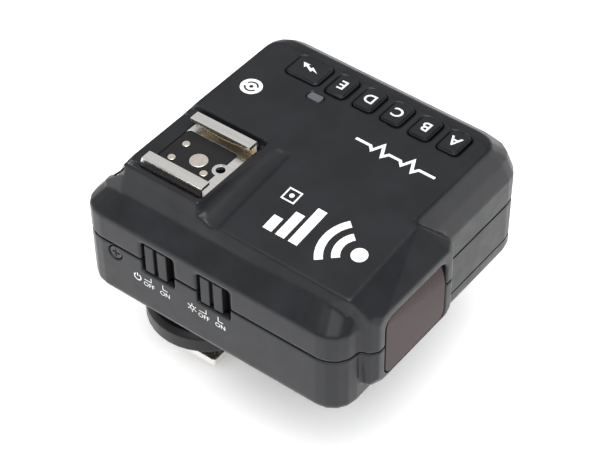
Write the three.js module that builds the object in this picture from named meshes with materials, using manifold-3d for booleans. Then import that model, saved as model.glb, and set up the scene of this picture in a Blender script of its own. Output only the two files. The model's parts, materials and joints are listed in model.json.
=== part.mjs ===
// Wireless flash trigger for a camera hot shoe.
// Millimetres. +Z up, +Y towards the subject, +X to the photographer's right.
// The origin is the centre of the underside of the foot plate, which slides into the camera's shoe.

import * as THREE from "three";
import { ConvexGeometry } from "three/addons/geometries/ConvexGeometry.js";
import { mergeVertices } from "three/addons/utils/BufferGeometryUtils.js";
import Module from "manifold-3d";

const wasm = await Module();
wasm.setup();

// ---------------------------------------------------------------- driving dimensions

// Case
const caseWidth = 70;
const caseLength = 72.6; // rear wall to front wall
const lobeReach = 3.4; // the front lobe stands this far out of the front wall
const topZ = 58; // rear edge of the top, above the underside of the foot
const undersideZ = 23.4;
const seamZ = 38.9;
const ridgeZ = 46.2; // where the side walls turn in to the shoulders
const topFall = 0.02; // fall of the top towards the front, per millimetre
const cornerRadius = 6.3;
const undersideRound = 1.5;
const wall = 1.8;
const seamGap = 0.3;
const fitGap = 0.3; // round every piece that sits in an opening of the case
const rearSlopeRun = 8.5; // how far forward the rear slope leans from ridge to top

// Sloping centre panel, and the lobe that it ends in
const panelInset = 6.2; // its outer edge, from the side wall
const panelWidth = 24.3;
const panelTilt = 0.119; // fall towards the side, per millimetre
const panelCrestSetback = 2.3; // its front edge, behind the front wall
const lobeFaceZ = 48.7; // top of the lobe's front face
const lobeBottomZ = 28.4;
const lobeSideInset = 9.5; // front face's right edge, from the side wall
const lobeFaceWidth = 26.9;
const lobeFlare = 2.6; // the lobe is this much wider each side where it leaves the case

// Front window
const windowWidth = 22;
const windowBottomZ = 29.4;
const windowTopZ = 46.2;
const windowThickness = 1.7;
const windowCorner = 2.4;
const windowLean = 0.2; // of its upper facet, run per rise
const windowFacet = [1, 6.4]; // the facet's height at the right end and at the left end

// Hot shoe on top. Channel and lips follow the standard accessory shoe.
const shoeInset = 20.8; // its centre, from the right wall
const shoeSetback = 10.1; // centre, in front of the top's rear edge
const shoeLength = 17;
const shoeChannelWidth = 18.8;
const shoeLipGap = 13.8;
const shoeMetal = 0.8;
const shoeChannelHeight = 2.2;
const shoeFloorZ = 54.2;
const shoeInsertWidth = 12.4;
const shoeInsertLength = 14.2;
const shoeInsertThickness = 1.6;
const shoeContactRadius = 2.3;
const signalContactRadius = 1.05;
const lockHoleRadius = 1.1;
const lockRimRadius = 2; // metal left round the lock hole
const bendDrop = 1.1; // outer bend of each rail, in height
const bendInset = 0.5; // and in width
const bendStep = 0.15;
const contactRecess = 0.05;
const shoeSpringThickness = 0.25;
const shoeSpringBow = 0.8;
const shoeContactPlaces = [[0.3, -0.2], [-2.3, -6], [3, -5.8], [2.9, 3.3]]; // from the shoe's centre
const lockHoleSetback = 5.8; // in front of the shoe's centre

// Raised rim that stands round the front and the right of the shoe
const rimTopDrop = 0.5; // below the top
const rimFloorZ = 55.4;
const rimGap = 2.6; // floor beside the shoe, between its rail and the rim
const rimFrontGap = 2.9; // between the shoe's front end and the rim
const rampLength = 3.6; // from the rim's edge forward and down to the panel
const rampDip = 0.5; // shallow hollow at the foot of the ramp

// Keys on top
const keyRowInset = 13.5; // key centres, from the left wall
const keyPitch = 7.68;
const keyWidth = 7.3; // along X
const keyLength = 5.2; // along Y
const keyCount = 5;
const firstKeySetback = 31.2; // centre of the first key, in front of the rear wall
const keyCorner = 1.1;
const keyRise = 0.55;
const keyTravel = 0.5;
const testKeyLength = 9.1;
const testKeyGap = 2.2; // between the test key and the first group key
const lightWidth = 2.2;
const lightLength = 3.6;

// Slide switches in the right wall
const slotLength = 9.4;
const slotHeight = 8.7;
const slotPitch = 15.8;
const slotMiddleZ = 40.05;
const firstSlotSetback = 22.75; // centre of the rear slot, in front of the rear wall
const knobLength = 6.2;
const knobGroove = 1.1;
const switchRestGap = 0.9; // open behind the knob at rest, with its travel open in front of it
const knobRise = 0.25; // how far the knob stays inside the wall's face
const switchBodyDepth = 3.2;

// Rear panel, with the display, the dial and its keys
const rearPanelHeight = 23.4;
const rearPanelWidth = 54;
const rearPanelThickness = 1.6;
const rearPanelLip = 1.2; // hidden margin behind the opening's edge
const rearPanelTopDrop = 5.6; // opening's upper edge, below the top
const rearPanelRecess = 1; // its face, inside the rear slope at that edge
const rearPanelLean = 78.5; // degrees from horizontal
const rearPanelMargin = 2.4; // beside the display and the dial
const displayWidth = 30;
const displayHeight = 15;
const displayThickness = 1.2;
const dialRadius = 7.9;
const dialHeight = 2.4;
const dialGrip = 18;
const setKeyRadius = 3.4;
const functionKeyWidth = 6.2;
const functionKeyHeight = 3;
const functionKeyPitch = 8.2;

// Foot
const footWidth = 18.6;
const footLength = 18;
const footThickness = 2;
const footNeckWidth = 12.2;
const footNeckLength = 13.4;
const footNeckRound = 3;
const footNeckTop = 7.6;
const postRadius = 8;
const ringRadius = 15;
const ringBottomZ = 7;
const ringHeight = 5.6;
const ringBoreGap = 0.4;
const washerRadius = 11;
const washerThickness = 0.6;
const footPinRadius = 0.75;
const footPinPlaces = [[0, -0.2], [-2.6, -5.6], [2.8, -5.6], [2.8, 3.4]]; // from the foot's centre
const footInsertWidth = 8.6;
const footInsertLength = 14.6;

// Battery bay
const cellRadius = 7.1;
const cellLength = 50.2;
const cellGap = 0.6;
const cellLift = 0.2; // over the floor of the bay
const cellSideGap = 0.1; // from its left wall
const doorSeamZ = 27.4;
const doorFloor = 1.5;
const hingePinRadius = 0.8;
const hingeClearance = 0.1;
const hingeKnuckle = 1.7;
const doorSwingGap = 2.2; // between the battery bay and the lock ring, where the open door hangs

// Fasteners and boards
const sideScrewRadius = 1.7;
const sideScrewSetback = 10.2;
const sideScrewZ = 36.6;
const caseScrewRadius = 1.1;
const caseScrewHead = 2;
const bossRadius = 3;
const boardThickness = 1;

// ---------------------------------------------------------------- places that follow from them

const sideX = caseWidth / 2;
const rearY = -(caseLength + lobeReach) / 2;
const frontY = rearY + caseLength;
const lobeY = frontY + lobeReach;
const rearTopY = rearY + rearSlopeRun;
const rearSlope = rearSlopeRun / (topZ - ridgeZ);
const panelEdgeX = sideX - panelInset;
const creaseX = panelEdgeX - panelWidth;
const crestY = frontY - panelCrestSetback;
const lobeRightX = sideX - lobeSideInset;
const lobeLeftX = lobeRightX - lobeFaceWidth;
const windowX = (lobeRightX + lobeLeftX) / 2;
const shoeX = sideX - shoeInset;
const shoeY = rearTopY + shoeSetback;
const shoeOuterHalf = shoeChannelWidth / 2 + shoeMetal;
const insertSetback = (shoeLength - shoeInsertLength) / 2 - 0.1; // centre, behind the shoe's centre
const keyX = -sideX + keyRowInset;
const firstKeyY = rearY + firstKeySetback;
const testKeyY = firstKeyY - keyLength / 2 - testKeyGap - testKeyLength / 2;
const cellZ = undersideZ + wall + cellLift + cellRadius;
const boardZ = cellZ + cellRadius + 0.6;
const keyBoardZ = topZ - 5.8;
const bayRightX = shoeX - ringRadius - doorSwingGap;
const cellY = rearY + 36.2;
const circleSteps = 24;
const cornerSteps = 4;
const smallCornerSteps = 2;
const smallCorner = 1.6; // round corners up to this radius take the smaller number of steps

// ---------------------------------------------------------------- geometry helpers

function toSolid(geometry) {
  const bare = geometry.clone();
  bare.deleteAttribute("normal");
  bare.deleteAttribute("uv");
  const merged = mergeVertices(bare, 1e-4);
  return new wasm.Manifold(new wasm.Mesh({
    numProp: 3,
    vertProperties: Float32Array.from(merged.attributes.position.array),
    triVerts: Uint32Array.from(merged.index.array),
  }));
}

function toGeometry(solid) {
  const mesh = solid.getMesh();
  const geometry = new THREE.BufferGeometry();
  geometry.setAttribute("position", new THREE.BufferAttribute(mesh.vertProperties, 3));
  geometry.setIndex(new THREE.BufferAttribute(mesh.triVerts, 1));
  return geometry;
}

function unite(...solids) {
  return solids.reduce((whole, next) => whole.add(next));
}

function box(x0, x1, y0, y1, z0, z1) {
  const geometry = new THREE.BoxGeometry(x1 - x0, y1 - y0, z1 - z0);
  geometry.translate((x0 + x1) / 2, (y0 + y1) / 2, (z0 + z1) / 2);
  return toSolid(geometry);
}

function convex(points) {
  return toSolid(new ConvexGeometry(points));
}

function roundedShape(width, height, radius) {
  const shape = new THREE.Shape();
  const x = width / 2 - radius;
  const y = height / 2 - radius;
  shape.absarc(x, y, radius, 0, Math.PI / 2);
  shape.absarc(-x, y, radius, Math.PI / 2, Math.PI);
  shape.absarc(-x, -y, radius, Math.PI, 1.5 * Math.PI);
  shape.absarc(x, -y, radius, 1.5 * Math.PI, 2 * Math.PI);
  shape.closePath();
  return shape;
}

// A plate with round corners, from z0 to z1, with its outline's middle at x, y.
function plateGeometry(width, length, radius, x, y, z0, z1) {
  const steps = radius > smallCorner ? cornerSteps : smallCornerSteps;
  const options = { depth: z1 - z0, bevelEnabled: false, curveSegments: steps };
  const geometry = new THREE.ExtrudeGeometry(roundedShape(width, length, radius), options);
  geometry.translate(x, y, z0);
  return geometry;
}

function plate(...sizes) {
  return toSolid(plateGeometry(...sizes));
}

// A solid of revolution about a vertical axis, from points [radius, z] that start and end on the axis.
function turnedGeometry(points, x = 0, y = 0, steps = circleSteps) {
  const profile = points.map(([radius, z]) => new THREE.Vector2(radius, z));
  const geometry = new THREE.LatheGeometry(profile, steps);
  geometry.rotateX(Math.PI / 2);
  geometry.translate(x, y, 0);
  return geometry;
}

function turned(...sizes) {
  return toSolid(turnedGeometry(...sizes));
}

function disc(radius, z0, z1, x = 0, y = 0, steps = circleSteps) {
  return turned([[0, z0], [radius, z0], [radius, z1], [0, z1]], x, y, steps);
}

function transformed(solid, matrix) {
  return toSolid(toGeometry(solid).applyMatrix4(matrix));
}

// Turns a solid made about +Z so that its axis points along +X or -Y, then moves it.
function alongX(solid, x, y, z) {
  const turn = new THREE.Matrix4().makeRotationY(Math.PI / 2).setPosition(x, y, z);
  return transformed(solid, turn);
}

function alongY(solid, x, y, z) {
  const turn = new THREE.Matrix4().makeRotationX(Math.PI / 2).setPosition(x, y, z);
  return transformed(solid, turn);
}

// ---------------------------------------------------------------- the case's outer form

// One level of the case: a rectangle with round corners, at a height that may change with x and y.
function level(left, right, rear, front, radius, height, inset) {
  const x0 = -sideX + left + inset;
  const x1 = sideX - right - inset;
  const y0 = rearY + rear + inset;
  const y1 = frontY - front - inset;
  const round = Math.max(radius - inset, 0.8);
  const centres = [
    [x1 - round, y1 - round], [x0 + round, y1 - round],
    [x0 + round, y0 + round], [x1 - round, y0 + round],
  ];
  return centres.flatMap(([centreX, centreY], quarter) => {
    return Array.from({ length: cornerSteps + 1 }, (_, step) => {
      const angle = (quarter + step / cornerSteps) * Math.PI / 2;
      const x = centreX + round * Math.cos(angle);
      const y = centreY + round * Math.sin(angle);
      return new THREE.Vector3(x, y, height(x, y));
    });
  });
}

const fallAt = (y) => topFall * (y - rearTopY);
const panelHeight = (x, y) => topZ - panelTilt * Math.max(x - creaseX, 0) - fallAt(y);
const sideWallLean = 0.41; // of the centre block, run per rise
const slopeBackAt = (z) => rearSlope * (z - ridgeZ);

// Main form: straight walls, then shoulders that lean in on every side.
function mainForm(inset) {
  const flat = (z) => () => z;
  const low = undersideZ + inset;
  const falling = (z) => (x, y) => z - inset - fallAt(y);
  const shoulderAt = (z) => (sideX - panelEdgeX + 1.8) * (z - ridgeZ) / (topZ - 3 - ridgeZ);
  const levels = [
    level(undersideRound, undersideRound, undersideRound, undersideRound, 5, flat(low), inset),
    level(0.4, 0.4, 0.4, 0.4, 6, flat(low + 0.45), inset),
    level(0, 0, 0, 0, cornerRadius, flat(low + undersideRound), inset),
    level(0, 0, 0, 0, cornerRadius, flat(ridgeZ), inset),
    level(1.1, shoulderAt(51.2), slopeBackAt(51.2), 1.4, 6.5, flat(51.2 - inset), inset),
    level(3.3, shoulderAt(topZ - 3), slopeBackAt(topZ - 3), 2.6, 6.5, falling(topZ - 3), inset),
    level(6.2, sideX - creaseX - 6.5, slopeBackAt(57.2), 3.2, 5, falling(topZ - 0.8), inset),
    level(9.4, sideX - creaseX, rearSlopeRun, 3.7, 3, falling(topZ), inset),
  ];
  return convex(levels.flat());
}

// Right-hand side of the centre block at height z: a steep wall that stands on the shoulder.
const sideWallAt = (z) => panelEdgeX - sideWallLean * (z - (topZ - 2.9));

// Centre block under the sloping panel. Its foot narrows at both ends, with the case's corners.
function centreForm(inset) {
  const base = ridgeZ + 3.8;
  const rearBase = rearY + slopeBackAt(base) + inset;
  const foot = sideWallAt(base) - inset;
  const points = [
    [creaseX, rearBase, base], [creaseX, crestY + 1 - inset, base],
    [foot - 1.8, rearBase, base], [foot - 1.6, crestY + 0.4 - inset, base],
    [foot, rearBase + cornerRadius, base], [foot, crestY - cornerRadius, base],
  ];
  for (const x of [creaseX, panelEdgeX - inset]) {
    const rear = rearTopY + inset + 0.4;
    points.push([x, rear, panelHeight(x, rear) - inset], [x, crestY - inset, panelHeight(x, crestY) - inset]);
  }
  return convex(points.map((point) => new THREE.Vector3(...point)));
}

// Front lobe: a facet from the panel's crest down to a flat face that holds the window.
function lobeForm(inset) {
  const points = [];
  const ring = (y, left, right, bottom, top, round) => {
    const corners = [[right, top, 1, 1], [left, top, -1, 1], [left, bottom, -1, -1], [right, bottom, 1, -1]];
    for (const [x, z, sx, sz] of corners) {
      points.push(new THREE.Vector3(x - sx * (inset + round), y, z - sz * inset));
      points.push(new THREE.Vector3(x - sx * inset, y, z - sz * (inset + round)));
    }
  };
  const flare = 0.7 * lobeFlare;
  ring(lobeY - inset, lobeLeftX, lobeRightX, lobeBottomZ + 0.6, lobeFaceZ, 1.6);
  ring(lobeY - 1.3 - inset, lobeLeftX - flare, lobeRightX + flare, lobeBottomZ, lobeFaceZ + 0.9, 1);
  ring(frontY - 5, lobeLeftX - lobeFlare, lobeRightX + lobeFlare, lobeBottomZ - 0.6, lobeFaceZ + 1.2, 1);
  for (const x of [creaseX, panelEdgeX - inset]) {
    points.push(new THREE.Vector3(x, crestY - inset, panelHeight(x, crestY) - inset));
  }
  return convex(points);
}

const rimTop = topZ - rimTopDrop;
const rimY = shoeY + shoeLength / 2 + rimFrontGap;

// Block that carries the shoe, level with the top, with a ramp from its front edge down to the panel.
function shoeBlock() {
  const rear = rearY + slopeBackAt(rimTop);
  const low = rimFloorZ - 3;
  const right = sideWallAt(rimTop);
  const lowRight = sideWallAt(low);
  const points = [];
  const corners = [[creaseX - 0.6, rimTop], [right, rimTop], [creaseX - 0.6, low], [lowRight - 0.1, low]];
  for (const [x, z] of corners) {
    const back = z === low ? rearTopY + 1.2 : rear;
    points.push(new THREE.Vector3(x, back, z), new THREE.Vector3(x, rimY, z));
  }
  const block = convex(points);
  const ramp = [];
  const rampEdges = [[creaseX - 0.6, panelHeight(creaseX, rimY)], [right, panelHeight(panelEdgeX, rimY)]];
  for (const [x, edge] of rampEdges) {
    ramp.push(new THREE.Vector3(x, rimY - 0.1, rimTop), new THREE.Vector3(x, rimY, rimTop));
    ramp.push(new THREE.Vector3(x, rimY - 0.1, low), new THREE.Vector3(x, rimY + rampLength, edge - 0.15));
    ramp.push(new THREE.Vector3(x, rimY + rampLength, low));
  }
  return block.add(convex(ramp));
}

// What is cut from that block and the panel: the shoe's open bay, and the hollow at the ramp's foot.
function shoeBay() {
  const right = shoeX + shoeOuterHalf + rimGap;
  const left = shoeX - shoeOuterHalf - 0.5;
  const bay = box(left, right, rearY - 1, rimY - 0.7, rimFloorZ, topZ + 3);
  const hollowRadius = 5;
  const rise = hollowRadius - rampDip;
  const long = panelEdgeX - creaseX;
  const rod = disc(hollowRadius, 0, long + 6, 0, 0, 72);
  const laid = alongX(rod, 0, 0, 0);
  const tilt = new THREE.Matrix4().makeRotationY(Math.atan(panelTilt));
  tilt.setPosition(creaseX - 0.4, rimY + rampLength + 0.4, panelHeight(creaseX, rimY + rampLength) + rise);
  return bay.add(transformed(laid, tilt));
}

// ---------------------------------------------------------------- rear panel's own frame

// Its local X is the case's X, local Y runs up the panel, local Z points out of it.
const rearFrame = new THREE.Matrix4().makeRotationX(THREE.MathUtils.degToRad(rearPanelLean));
const rearPanelHalf = rearPanelHeight / 2;
const leanCos = Math.cos(THREE.MathUtils.degToRad(rearPanelLean));
const leanSin = Math.sin(THREE.MathUtils.degToRad(rearPanelLean));
const rearOriginY = rearY + slopeBackAt(topZ - rearPanelTopDrop) + rearPanelRecess - rearPanelHalf * leanCos;
const rearOriginZ = topZ - rearPanelTopDrop - rearPanelHalf * leanSin;
rearFrame.setPosition(0, rearOriginY, rearOriginZ);
const displayX = -rearPanelWidth / 2 + rearPanelMargin + displayWidth / 2;
const displayV = rearPanelHalf - 1.6 - displayHeight / 2;
const dialX = rearPanelWidth / 2 - rearPanelMargin - dialRadius;
const dialV = -1.6;
const functionRowV = -rearPanelHalf + 1.6 + functionKeyHeight / 2;
const functionKeyXs = [0, 1, 2, 3].map((place) => displayX + (place - 1.5) * functionKeyPitch);

function inRearFrame(solid) {
  return transformed(solid, rearFrame);
}

// ---------------------------------------------------------------- covers

const keyYs = Array.from({ length: keyCount }, (_, place) => firstKeyY + place * keyPitch);
const keyLetters = ["e", "d", "c", "b", "a"];
const slotYs = [0, 1].map((place) => rearY + firstSlotSetback + place * slotPitch);
const lightX = keyX + keyWidth / 2 + 2.9;
const lightY = testKeyY + testKeyLength / 2 + 2;
const portZ = boardZ + boardThickness + 0.3 + 1.6;
const usbY = rearY + 44;
const jackY = rearY + 32;
const caseScrewPlaces = [
  [sideX - 6.4, rearY + 11.2],
  [sideX - 6.4, frontY - 6.4],
  [bayRightX + 4.6, frontY - 6.4],
  [bayRightX + 4.6, rearY + 30.5],
];

function outerForm() {
  return unite(mainForm(0), centreForm(0), lobeForm(0), shoeBlock()).subtract(shoeBay());
}

function cavity() {
  const hollow = unite(mainForm(wall), centreForm(wall), lobeForm(wall));
  const far = 40;
  const behindPanel = inRearFrame(box(-far * 2, far * 2, -far * 2, far * 2, 0, far));
  const shoeTub = box(shoeX - shoeOuterHalf - 2, shoeX + shoeOuterHalf + 2,
    rearY, shoeY + shoeLength / 2 + 2.4, shoeFloorZ - shoeMetal - shoeInsertThickness - 1.7, topZ);
  const displayRoom = inRearFrame(box(-rearPanelWidth / 2, rearPanelWidth / 2, -rearPanelHalf,
    displayV + displayHeight / 2 + 1.2, -rearPanelThickness - 3.6, 0));
  return hollow.subtract(behindPanel).subtract(shoeTub.subtract(displayRoom));
}

function keyHole(width, length, y) {
  const gap = 2 * fitGap;
  return plate(width + gap, length + gap, keyCorner + fitGap, keyX, y, keyBoardZ, topZ + 2);
}

function openings() {
  const lip = rearPanelLip + fitGap;
  const rearOpening = inRearFrame(unite(plate(rearPanelWidth, rearPanelHeight, 2, 0, 0, -0.1, 30),
    plate(rearPanelWidth + 2 * lip, rearPanelHeight + 2 * lip, 2.5, 0, 0, -rearPanelThickness - fitGap, 0)));
  const half = shoeOuterHalf + fitGap;
  const shoeEnd = shoeY + shoeLength / 2 + fitGap;
  const shoeStart = shoeY - shoeLength / 2 - fitGap;
  const shoePocket = box(shoeX - half, shoeX + half, shoeStart, shoeEnd,
    shoeFloorZ - shoeMetal - fitGap, topZ + 2);
  const insertPocket = plate(shoeInsertWidth + 2 * fitGap, shoeInsertLength + 2 * fitGap, 1, shoeX,
    shoeY - insertSetback, shoeFloorZ - shoeInsertThickness - fitGap, topZ);
  const entry = box(shoeX - shoeChannelWidth / 2, shoeX + shoeChannelWidth / 2, rearY, shoeStart + 0.1,
    shoeFloorZ - 0.2, topZ + 2);
  const windowHole = alongY(plate(windowWidth + 2 * fitGap, windowTopZ - windowBottomZ + 2 * fitGap,
    windowCorner + fitGap, 0, 0, 0, wall + 4), windowX, lobeY + 1, (windowTopZ + windowBottomZ) / 2);
  const slots = slotYs.map((y) => box(sideX - wall - 0.6, sideX + 1, y - slotLength / 2, y + slotLength / 2,
    slotMiddleZ - slotHeight / 2, slotMiddleZ + slotHeight / 2));
  const keys = keyYs.map((y) => keyHole(keyWidth, keyLength, y));
  const light = plate(lightWidth + 0.4, lightLength + 0.4, 0.7, lightX, lightY, keyBoardZ, topZ + 2);
  const usb = alongX(plate(3.2 + 2 * fitGap, 9 + 2 * fitGap, 1.2, 0, 0, 0, wall + 2),
    -sideX - 1, usbY, portZ);
  const jack = alongX(disc(2.4, 0, wall + 2), -sideX - 1, jackY, portZ);
  const sideScrewHole = alongX(disc(sideScrewRadius + fitGap, 0, wall + 2), sideX - wall - 1,
    rearY + sideScrewSetback, sideScrewZ);
  return unite(rearOpening, shoePocket, insertPocket, entry, windowHole, ...slots, ...keys,
    keyHole(keyWidth, testKeyLength, testKeyY), light, usb, jack, sideScrewHole);
}

const slab = (z0, z1) => box(-100, 100, -100, 100, z0, z1);
const shell = outerForm().subtract(cavity()).subtract(openings());

function topCover() {
  const posts = caseScrewPlaces.map(([x, y]) => {
    const post = disc(bossRadius, seamZ + seamGap / 2, ridgeZ + 6, x, y, 16);
    return post.subtract(disc(caseScrewRadius + 0.1, seamZ - 1, ridgeZ + 2, x, y, 12));
  });
  const solidPosts = unite(...posts).intersect(outerForm()).subtract(openings());
  return shell.intersect(slab(seamZ + seamGap / 2, topZ + 10)).add(solidPosts);
}

// The door's edge is a barrel about the hinge pin, so that it clears the bottom cover as it swings.
const doorX = bayRightX - fitGap;
const doorHingeX = doorX - hingeKnuckle;
const doorHingeZ = undersideZ + hingeKnuckle + 0.1;
const earYs = [rearY + 12, frontY - 12];
const earLength = 4;
const earGap = 0.3;

function alongHinge(radius, y0, y1, steps = circleSteps) {
  return alongY(disc(radius, -y1, -y0, 0, 0, steps), doorHingeX, 0, doorHingeZ);
}

const hingeBore = () => alongHinge(hingePinRadius + hingeClearance, -caseLength, caseLength, 16);

function bottomCover() {
  const shallow = shell.intersect(slab(undersideZ - 1, seamZ - seamGap / 2));
  const doorSpace = box(-sideX - 1, bayRightX, rearY - 1, frontY + 1, undersideZ - 1, doorSeamZ + seamGap);
  const bayWall = box(bayRightX - 0.05, bayRightX + 1.2, rearY + 10.8, frontY - 1,
    undersideZ + 0.2, seamZ - seamGap / 2);
  const bosses = caseScrewPlaces.map(([x, y]) => {
    return disc(bossRadius, undersideZ + 0.2, seamZ - seamGap / 2, x, y, 16);
  });
  const holes = caseScrewPlaces.map(([x, y]) => unite(
    disc(caseScrewRadius + 0.1, undersideZ - 1, seamZ + 1, x, y, 12),
    disc(caseScrewHead + 0.2, undersideZ - 1, undersideZ + 4.2, x, y, 16)));
  const ears = earYs.map((y) => alongHinge(hingeKnuckle - 0.1, y - earLength / 2, y + earLength / 2)
    .add(box(doorHingeX, bayRightX + 0.6, y - earLength / 2, y + earLength / 2,
      doorHingeZ - 0.6, doorHingeZ + 1.2)));
  const behindPanel = inRearFrame(box(-80, 80, -80, 80, -rearPanelThickness - 0.6, 40));
  const inner = unite(bayWall, ...bosses).subtract(behindPanel).intersect(mainForm(0.2));
  const postHole = disc(postRadius + 0.2, undersideZ - 1, undersideZ + 4, shoeX, shoeY);
  return unite(shallow.subtract(doorSpace), inner, ...ears)
    .subtract(unite(...holes, postHole, hingeBore()));
}

function batteryDoor() {
  const outer = mainForm(0);
  const region = box(-sideX - 1, doorHingeX, rearY - 1, frontY + 1, undersideZ - 1, doorSeamZ);
  const floorTop = undersideZ + doorFloor;
  const tray = outer.subtract(mainForm(wall)).intersect(region);
  const floor = outer.intersect(box(-sideX, doorHingeX, rearY, frontY, undersideZ, floorTop));
  const barrel = alongHinge(hingeKnuckle, rearY + cornerRadius, frontY - cornerRadius, 24);
  const web = box(doorHingeX - 3, doorHingeX, rearY + cornerRadius, frontY - cornerRadius,
    undersideZ + 0.1, doorHingeZ + 0.6);
  const earRooms = earYs.map((y) => alongHinge(hingeKnuckle + earGap, y - earLength / 2 - earGap,
    y + earLength / 2 + earGap));
  const grips = [-2, -1, 0, 1, 2].map((place) => box(-sideX - 0.1, -sideX + 0.35,
    place * 2.4 - 0.6, place * 2.4 + 0.6, undersideZ + 1.6, doorSeamZ - 0.8));
  return unite(tray, floor, barrel, web).intersect(outer)
    .subtract(unite(...earRooms, hingeBore(), ...grips));
}

// ---------------------------------------------------------------- pieces

const looks = {
  shell: { color: 0x2b2d30, roughness: 0.55, metalness: 0 },
  key: { color: 0x26282b, roughness: 0.5, metalness: 0 },
  dark: { color: 0x111214, roughness: 0.6, metalness: 0 },
  steel: { color: 0xc9cacb, roughness: 0.3, metalness: 1 },
  brass: { color: 0xb79a5b, roughness: 0.35, metalness: 1 },
  gold: { color: 0xd2c49a, roughness: 0.3, metalness: 1 },
  redWindow: { color: 0x3a1d1c, roughness: 0.15, metalness: 0 },
  display: { color: 0x39423c, roughness: 0.1, metalness: 0 },
  light: { color: 0x8c939b, roughness: 0.3, metalness: 0 },
  board: { color: 0x1d5a35, roughness: 0.5, metalness: 0 },
  cell: { color: 0x3c6ea8, roughness: 0.4, metalness: 0.3 },
  led: { color: 0xc03030, roughness: 0.2, metalness: 0 },
};

const model = new THREE.Group();
const body = new THREE.Group();
body.position.set(-shoeX, -shoeY, 0);
model.add(body);
const rearGroup = new THREE.Group();
rearFrame.decompose(rearGroup.position, rearGroup.quaternion, rearGroup.scale);
body.add(rearGroup);

function add(parent, name, shape, look, x = 0, y = 0, z = 0) {
  const geometry = shape.isBufferGeometry ? shape : toGeometry(shape);
  const mesh = new THREE.Mesh(geometry, new THREE.MeshStandardMaterial(looks[look]));
  mesh.name = name;
  mesh.position.set(x, y, z);
  parent.add(mesh);
}

function addCase() {
  add(body, "top_cover", topCover(), "shell");
  add(body, "bottom_cover", bottomCover(), "shell");
  add(body, "battery_door", batteryDoor(), "shell");
  const pinLength = earYs[1] - earYs[0] + earLength - 0.6;
  const pin = disc(hingePinRadius, -pinLength / 2, pinLength / 2, 0, 0, 16);
  const pinY = (earYs[0] + earYs[1]) / 2;
  add(body, "battery_door_hinge_pin", alongY(pin, 0, 0, 0), "steel", doorHingeX, pinY, doorHingeZ);
}

function addFrontWindow() {
  const height = windowTopZ - windowBottomZ;
  const pane = alongY(plate(windowWidth, height, windowCorner, 0, 0, 0, windowThickness), 0, 0, 0);
  const above = height / 2 + 1;
  const rises = [[windowWidth / 2, windowFacet[0]], [-windowWidth / 2, windowFacet[1]]];
  const leaning = rises.flatMap(([x, rise]) => {
    const foot = height / 2 - rise;
    return [[x, 1, foot], [x, 0, foot], [x, 1, above], [x, -windowLean * (above - foot), above]];
  });
  const facet = convex(leaning.map((point) => new THREE.Vector3(...point)));
  const middleZ = (windowTopZ + windowBottomZ) / 2;
  add(body, "af_assist_window", pane.subtract(facet), "redWindow", windowX, lobeY - 0.1, middleZ);
  const led = [[0, 0], [2.9, 0], [2.9, 1], [2.5, 1], [2.5, 3.5], [1.6, 4.9], [0, 5.3]];
  const turnedLed = transformed(turned(led, 0, 0, 16), new THREE.Matrix4().makeRotationX(-Math.PI / 2));
  add(body, "af_assist_led", turnedLed, "led", windowX, lobeY - windowThickness - 7, boardZ - 3.3);
}

// U-shaped plate with its side walls folded over into two lips.
function shoePlate() {
  const half = shoeOuterHalf;
  const start = -shoeLength / 2;
  const end = shoeLength / 2;
  const floor = box(-half, half, start, end, -shoeMetal, 0);
  const cut = plate(shoeInsertWidth + 0.2, shoeInsertLength + 0.2, 1, 0, -insertSetback, -2, 2)
    .subtract(disc(lockRimRadius, -3, 3, 0, lockHoleSetback, 20))
    .add(disc(lockHoleRadius, -2, 2, 0, lockHoleSetback, 16));
  const lipTop = shoeChannelHeight + shoeMetal;
  const edge = half - bendInset;
  const section = [[half, -shoeMetal], [half, lipTop - bendDrop], [edge, lipTop - bendStep],
    [edge - 0.1, lipTop - bendStep], [edge - 0.1, lipTop], [shoeLipGap / 2, lipTop],
    [shoeLipGap / 2, shoeChannelHeight], [half - shoeMetal, shoeChannelHeight],
    [half - shoeMetal, -shoeMetal]];
  const rails = [-1, 1].map((side) => {
    const outline = new THREE.Shape(section.map(([x, z]) => new THREE.Vector2(side * x, z)));
    const geometry = new THREE.ExtrudeGeometry(outline, { depth: shoeLength, bevelEnabled: false });
    return alongY(toSolid(geometry), 0, end, 0);
  });
  return unite(floor.subtract(cut), ...rails);
}

function addShoe() {
  add(body, "shoe_plate", shoePlate(), "steel", shoeX, shoeY, shoeFloorZ);
  const names = ["shoe_centre_contact", "shoe_signal_contact_1", "shoe_signal_contact_2",
    "shoe_signal_contact_3"];
  const contacts = names.map((name, place) => {
    return [name, ...shoeContactPlaces[place], place ? signalContactRadius : shoeContactRadius];
  });
  const holes = contacts.map(([, x, y, radius]) => disc(radius + 0.05, -3, 1, x, y, 16));
  const insert = plate(shoeInsertWidth, shoeInsertLength, 1, 0, -insertSetback, -shoeInsertThickness, 0)
    .subtract(unite(disc(lockRimRadius + 0.1, -3, 1, 0, lockHoleSetback, 20), ...holes));
  add(body, "shoe_insert", insert, "dark", shoeX, shoeY, shoeFloorZ);
  for (const [name, x, y, radius] of contacts) {
    const top = -contactRecess;
    const profile = [[0, -shoeInsertThickness], [radius, -shoeInsertThickness], [radius, top - 0.15],
      [radius - 0.15, top], [0, top]];
    add(body, name, turnedGeometry(profile, 0, 0, 16), "gold", shoeX + x, shoeY + y, shoeFloorZ);
  }
  for (const [name, side] of [["shoe_spring_left", -1], ["shoe_spring_right", 1]]) {
    add(body, name, shoeSpring(side), "brass", shoeX, shoeY, shoeFloorZ);
  }
}

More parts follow.
